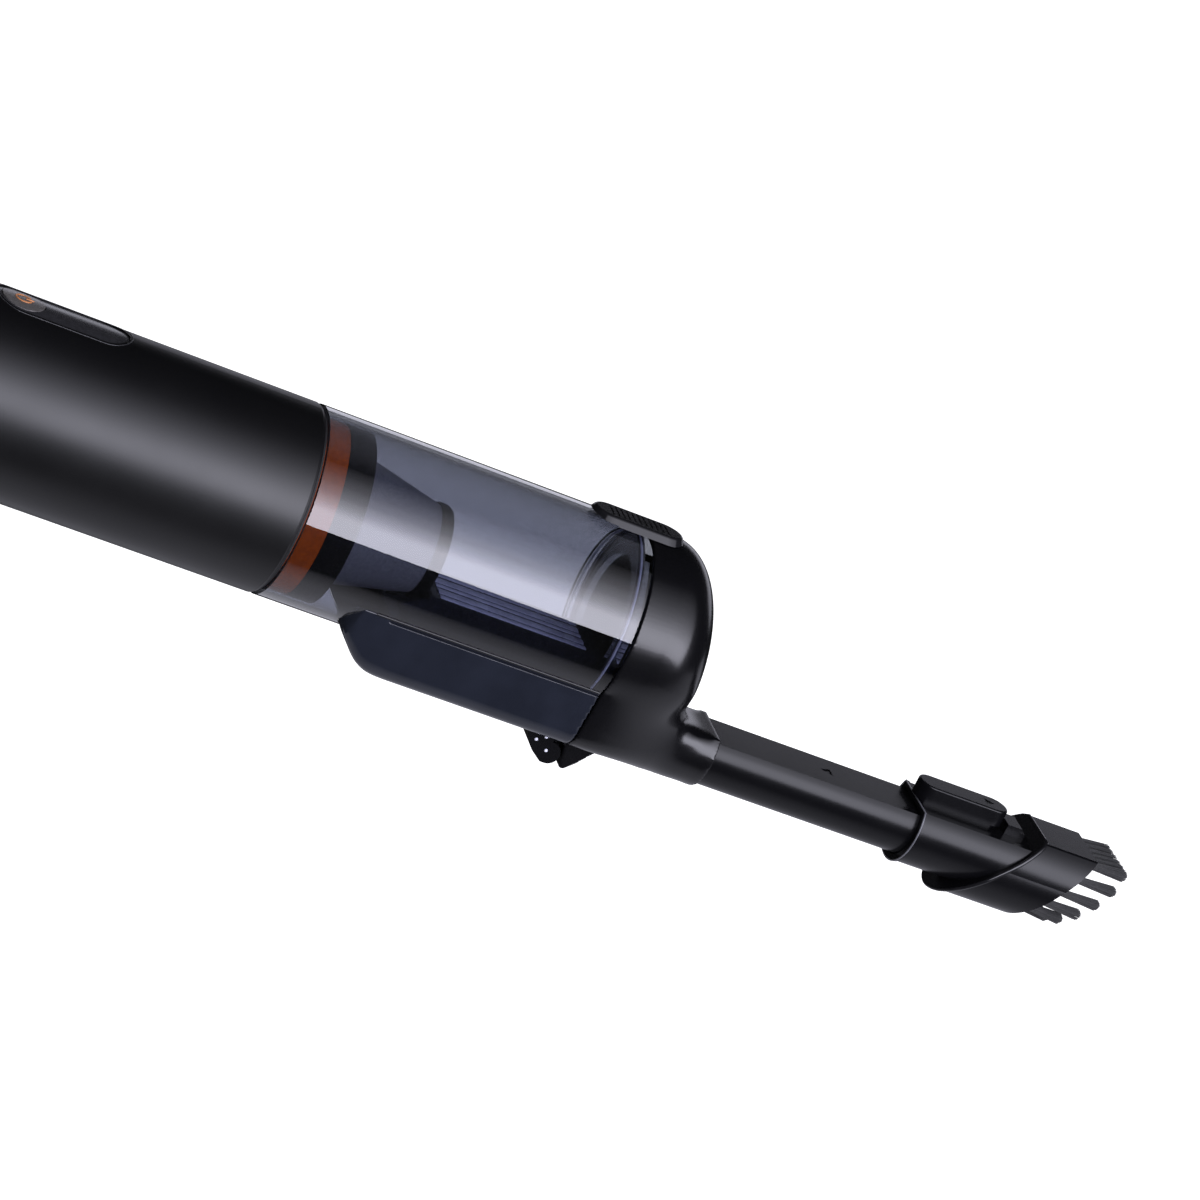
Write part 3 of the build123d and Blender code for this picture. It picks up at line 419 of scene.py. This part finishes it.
def worn(node, voxel, weigh, passes):
    """A remeshed copy of a node, smoothed where weigh(points) is above 0. voxel is in mm."""
    levels = 20               # steps in which the weights are handed on
    rough = bpy.data.objects.new("holder", nodes[node].data.copy())
    remesh = rough.modifiers.new("remesh", "REMESH")
    remesh.mode = "VOXEL"
    remesh.voxel_size = voxel * MM
    mesh = evaluated(rough)
    weight = weigh(read_points(mesh))
    holder = bpy.data.objects.new("holder", mesh)
    group = holder.vertex_groups.new(name="worn")
    for level in range(1, levels + 1):
        picked = np.nonzero(np.round(weight * levels) == level)[0]
        group.add([int(i) for i in picked], level / levels, "REPLACE")
    smooth = holder.modifiers.new("smooth", "SMOOTH")
    smooth.factor = 0.8
    smooth.iterations = passes
    smooth.vertex_group = "worn"
    return evaluated(holder)


def fade(values, start, length):
    """0 before start and 1 from start + length on (mm). A negative length fades the other way."""
    return np.clip((values - start * MM) / (length * MM), 0, 1)


def near_crease(points):
    """Weights for the head: 1 along the crease between its round part and its neck, a little on its collar, else 0."""
    half = ((258.1, 26.0, -15.3), (267.5, 25.2, -16.3), (278.0, 21.0, -17.6), (288.4, 15.4, -19.0),
            (291.0, 8.7, -20.4), (291.6, 0.0, -21.0))
    reach, seam, seam_fade = 13, 260, 10
    collar_rear, collar_front, collar_weight = 286, 304.5, 0.15
    steps = 6                 # places between two points of the crease
    nearest = np.full(len(points), 1.0, np.float32)
    for start, end in zip(half, half[1:]):
        for i in range(steps):
            for side in (1, -1):
                place = Vector(start).lerp(Vector(end), i / steps) * MM
                place.y *= side
                nearest = np.minimum(nearest, np.linalg.norm(points - np.array(place, np.float32), axis=1))
    weight = np.clip(1.0 - nearest / (reach * MM), 0, 1)
    weight = weight * weight * (3 - 2 * weight) * fade(points[:, 0], seam, seam_fade)
    collar = fade(points[:, 0], collar_rear, 5) * fade(points[:, 0], collar_front, -2)
    return np.maximum(weight, collar_weight * collar)


def near_duct_rear(points):
    """Weights for the duct: 1 round its rear corner, away from where it meets the cup."""
    corner_end, cup_joint = 196, -21
    return fade(points[:, 0], corner_end, -10) * fade(points[:, 2], cup_joint, -4)


def line_mesh(points, radius, cyclic=False, resolution=3):
    """A round bar, as a mesh, along the line through these points (mm)."""
    data = bpy.data.curves.new("line", "CURVE")
    data.dimensions = "3D"
    data.bevel_depth = radius * MM
    data.bevel_resolution = resolution
    data.use_fill_caps = True
    spline = data.splines.new("POLY")
    spline.points.add(len(points) - 1)
    for point, place in zip(spline.points, points):
        point.co = (*[c * MM for c in place], 1)
    spline.use_cyclic_u = cyclic
    return evaluated(bpy.data.objects.new("holder", data))


def joined(meshes):
    """One mesh from several."""
    form = bmesh.new()
    for mesh in meshes:
        form.from_mesh(mesh)
    return finished(form, "joined")


def on_slant(z, low, high, x_range):
    """X (mm) of a slanted rim at height z. It runs through x_range from height low to height high."""
    return x_range[0] + (x_range[1] - x_range[0]) * (z - low) / (high - low)


# ---------------------------------------------------------------- moulded forms that a solid's hard edges don't show
head_form = new_piece("head_form", worn("head_shell", 0.55, near_crease, 500), black_satin, "head")
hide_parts("head_shell")
duct_form = new_piece("duct_form", worn("duct_shell", 0.5, near_duct_rear, 120), dark_smoke, "dust_cup")
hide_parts("duct_shell")


def tapered_latch():
    """The latch with its sides leaning in towards the ribbed top."""
    foot, lean = 0.5 * MM, 1.3 * MM
    mesh = nodes["latch_button"].data.copy()
    low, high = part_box("latch_button")
    points = read_points(mesh)
    rise = np.clip((points[:, 2] - low[2] - foot) / (high[2] - low[2] - foot), 0, 1)
    middle_x = 0.5 * (low[0] + high[0])
    half_length, half_width = 0.5 * (high[0] - low[0]), 0.5 * (high[1] - low[1])
    points[:, 0] = middle_x + (points[:, 0] - middle_x) * (1 - lean / half_length * rise)
    points[:, 1] *= 1 - lean / half_width * rise
    write_points(mesh, points)
    return mesh


latch_cap = new_piece("latch_cap", tapered_latch(), black_polish, "latch", smooth=False)
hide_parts("latch_button")


# ---------------------------------------------------------------- bristles
def filament(form, root, tip, thick, sides=5, rings=5):
    """One bristle: a thin bar from root to tip that ends in a point."""
    taper = 0.35
    along = (tip - root).normalized()
    across = along.cross(Vector((0, 1, 0.3))).normalized()
    other = along.cross(across)
    loops = []
    for ring in range(rings):
        share = ring / (rings - 1)
        place = root.lerp(tip, share)
        size = thick * (1 - taper * share)
        loop = []
        for i in range(sides):
            turn = 2 * math.pi * i / sides
            loop.append(form.verts.new(place + (across * math.cos(turn) + other * math.sin(turn)) * size))
        loops.append(loop)
    for first, second in zip(loops, loops[1:]):
        for i in range(sides):
            form.faces.new((first[i], first[(i + 1) % sides], second[(i + 1) % sides], second[i]))
    end = form.verts.new(tip + along * thick)
    for i in range(sides):
        form.faces.new((loops[-1][i], loops[-1][(i + 1) % sides], end))
    form.faces.new(list(reversed(loops[0])))


def bristle_mesh():
    """Sixteen tufts of fine bristles that flare to rounded ends: a row along the top, and a fan down each side."""
    tuft, bristles_each, bristle_radius, reach, sunk = 1.4, 60, 0.22, 14.1, 2.5
    root_radius, top_tip_radius, side_tip_radius = 0.95, 2.1, 1.9
    top_flare, side_flare, rounding, unevenness = 0.3, 0.75, 1.5, 0.10
    row_step, row_gap, fan_gap, fan_drop = 3.5, 1.6, 0.4, 0.6     # the tufts' places round the nozzle
    golden_turn = 2.39996     # spreads each tuft's bristles evenly
    spread = TUBE_RADIUS + tuft + fan_gap
    places = [(row_step * i, TUBE_FLAT + tuft + row_gap) for i in (-2.5, -1.5, -0.5, 0.5, 1.5, 2.5)]
    top_count = len(places)
    for angle in (68, 92, 116, 141, 166):
        for side in (-1, 1):
            turn = math.radians(angle)
            places.append((side * spread * math.sin(turn), TUBE_Z - fan_drop + spread * math.cos(turn)))
    form = bmesh.new()
    for index, (y, z) in enumerate(places):
        rim = on_slant(z, TIP_ROUND_Z - TIP_HALF, TIP_TOP, TIP_FRONT_X)
        if index < top_count:
            tip_radius, outward = top_tip_radius, Vector((0, 0, top_flare))
        else:
            tip_radius, outward = side_tip_radius, Vector((0, y, z - TUBE_Z)).normalized() * side_flare
        for i in range(bristles_each):
            share = math.sqrt((i + 0.5) / bristles_each)
            turn = i * golden_turn + index
            dy, dz = share * math.cos(turn), share * math.sin(turn)
            uneven = unevenness * math.sin(7.3 * i + 2.1 * index)
            root = Vector((rim - sunk, y + dy * root_radius, z + dz * root_radius)) * MM
            length = reach - rounding * share * share + uneven
            tip = (Vector((rim + length, y + dy * tip_radius, z + dz * tip_radius)) + outward) * MM
            filament(form, root, tip, bristle_radius * MM)
    return finished(form, "bristles")


bristles = new_piece("bristles", bristle_mesh(), hair, "brush")
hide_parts("bristle_tufts")


# ---------------------------------------------------------------- trim
def brush_lip():
    """The raised lip along the slanted rear rim of the brush head."""
    ahead, inset, sunk, lip_radius = 1.3, 0.985, 0.1, 0.75
    drop = TIP_TOP - TIP_SHOULDER
    bulge = ((TIP_HALF - TIP_TOP_HALF) ** 2 + drop ** 2) / (2 * (TIP_HALF - TIP_TOP_HALF))
    side = [(TIP_TOP_HALF * i / 4.4, TIP_TOP) for i in range(5)]      # stops short of the corner
    turn = math.asin(drop / bulge)
    for i in range(1, 9):
        angle = turn * (1 - i / 8)
        side.append((TIP_HALF - bulge + bulge * math.cos(angle), TIP_SHOULDER + bulge * math.sin(angle)))
    for i in range(1, 25):
        angle = -math.pi / 2 * i / 24
        side.append((TIP_HALF * math.cos(angle), TIP_ROUND_Z + TIP_HALF * math.sin(angle)))
    outline = side + [(-y, z) for y, z in reversed(side[1:-1])]
    line = [(ahead + on_slant(z, TUBE_Z - SLEEVE_RADIUS, SLEEVE_FLAT, TIP_REAR_X), y * inset, z - sunk)
            for y, z in outline]
    return line_mesh(line, lip_radius, cyclic=True)


new_piece("brush_lip", brush_lip(), black_polish, "brush")


def pill_line(rear, front, half, steps=24):
    """Points (mm) round a pill-shaped outline laid on the housing."""
    sink = 0.02
    flat = []
    for centre, first in ((front - half, -90), (rear + half, 90)):
        for i in range(steps + 1):
            angle = math.radians(first + 180 * i / steps)
            flat.append((centre + half * math.cos(angle), half * math.sin(angle)))
    return [(x, y, math.sqrt(BODY_RADIUS * BODY_RADIUS - y * y) - sink) for x, y in flat]


def refined(points, most=1.5):
    """The same closed line with points no further apart than this (mm)."""
    out = []
    for start, end in zip(points, points[1:] + points[:1]):
        parts = max(1, math.ceil(math.dist(start, end) / most))
        for i in range(parts):
            out.append(tuple(a + (b - a) * i / parts for a, b in zip(start, end)))
    return out


bead = line_mesh(refined(pill_line(PANEL_REAR, PANEL_FRONT, PANEL_HALF)), 0.16, cyclic=True)
new_piece("panel_bead", bead, black_gloss, "body")


def d_line(x, radius, centre_z, flat_z, steps=48):
    """Points (mm) round a D-shaped outline at X: a circle about centre_z with a flat top."""
    start = math.asin((flat_z - centre_z) / radius)
    turn = math.pi + 2 * start
    return [(x, radius * math.cos(start - turn * i / steps), centre_z + radius * math.sin(start - turn * i / steps))
            for i in range(steps + 1)]


# The grey bar round the sleeve's rear rim is a painted highlight, for the light that the rim catches.
edge_radius = 0.3
sleeve_outline = d_line(SLEEVE_REAR, SLEEVE_RADIUS + edge_radius, TUBE_Z, SLEEVE_FLAT + 0.2)
new_piece("sleeve_edge_highlight", line_mesh(sleeve_outline, edge_radius, cyclic=True), edge_painted_highlight, "brush")


def gasket_line(side):
    """Points (mm) along the edge where the cup meets its duct, on one side."""
    half_width, height, rear, step, count = 25.8, -15.45, 183.0, 2.0, 38
    return [(rear + step * i, side * half_width, height) for i in range(count)]


gasket = joined([line_mesh(gasket_line(side), 0.42) for side in (-1, 1)])
new_piece("duct_gasket", gasket, black_satin, "dust_cup")


def power_mark():
    """A plain on-off mark on the button: a broken ring and a stroke."""
    ring_radius, line_radius, raised = 2.5, 0.25, 0.02
    first, last, parts = 35, 325, 32      # the ring's ends, in degrees, and its pieces

    def lifted(x, y):
        return BUTTON_X + x, y, math.sqrt(BUTTON_TOP_RADIUS ** 2 - y * y) + raised

    ring = []
    for i in range(parts + 1):
        angle = math.radians(first + (last - first) * i / parts)
        ring.append(lifted(ring_radius * math.cos(angle), ring_radius * math.sin(angle)))
    stroke = [lifted(0.6 + 0.35 * i, 0.0) for i in range(8)]
    return joined([line_mesh(ring, line_radius), line_mesh(stroke, line_radius)])


new_piece("power_mark", power_mark(), mark_orange, "power_button")


def arc(x, radius, lowest=CUP_RIM_LOWEST, steps=72):
    """Points (mm) round the cup at X, from one side of the floor over the top to the other."""
    start = math.asin(lowest / radius)
    turn = math.pi - 2 * start
    return [(x, radius * math.cos(start + turn * i / steps), radius * math.sin(start + turn * i / steps))
            for i in range(steps + 1)]


# The pale ring is a painted highlight: it stands in for the light that the cup's front rim catches.
new_piece("cup_rim_painted_highlight", line_mesh(arc(CUP_RIM_X, 27.35), 0.42), pale_and_painted_highlight, "dust_cup")
new_piece("cup_rim_shade", line_mesh(arc(CUP_RIM_X - 0.9, 27.6), 0.36), black_gloss, "dust_cup")


def strip(middle_y, width):
    """A long low bar (mm) with rounded edges, lying along the raised part of the cup's floor."""
    thick = 0.9
    mesh = line_mesh([(RIDGE_REAR, 0, 0), (RIDGE_FRONT, 0, 0)], 0.5 * width, resolution=6)
    points = read_points(mesh)
    points[:, 1] += middle_y * MM
    points[:, 2] = points[:, 2] * (thick / width) + (RIDGE_TOP - 0.5 * thick) * MM
    write_points(mesh, points)
    return mesh


def domed(x, y, z, radius, rise, steps=16, rings=4):
    """A low domed screw head (mm) on a wall that faces -Y."""
    form = bmesh.new()
    loops = []
    for ring in range(rings):
        angle = 0.5 * math.pi * ring / rings
        size, height = radius * math.cos(angle), rise * math.sin(angle)
        loop = []
        for i in range(steps):
            turn = 2 * math.pi * i / steps
            place = Vector((x + size * math.cos(turn), y - height, z + size * math.sin(turn)))
            loop.append(form.verts.new(place * MM))
        loops.append(loop)
    for first, second in zip(loops, loops[1:]):
        for i in range(steps):
            form.faces.new((first[i], first[(i + 1) % steps], second[(i + 1) % steps], second[i]))
    peak = form.verts.new(Vector((x, y - rise, z)) * MM)
    for i in range(steps):
        form.faces.new((loops[-1][i], loops[-1][(i + 1) % steps], peak))
    form.faces.new(list(reversed(loops[0])))
    bmesh.ops.recalc_face_normals(form, faces=form.faces)
    return finished(form, "domed")


screw_places = ((252.1, -42.7), (254.8, -41.0), (256.6, -45.2))       # X and Z on the hinge bracket's wall
heads = joined([domed(x, -8.48, z, radius=0.58, rise=0.36) for x, z in screw_places])
screw_heads = new_piece("screw_heads", heads, pale_and_painted_highlight, "dust_cup")
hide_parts("hinge_screws")

# The strips are real raised bars; their pale colour is a painted reflection, for the streaks of light along the ridge
# of the cup's floor.
strip_places = ((-9.2, 3.0), (-4.9, 4.4), (-0.6, 2.6), (3.6, 4.6), (8.6, 3.6))     # Y and width
ridges = joined([strip(y, width) for y, width in strip_places])
new_piece("ridge_strips", ridges, ridge_painted_highlight, "dust_cup")
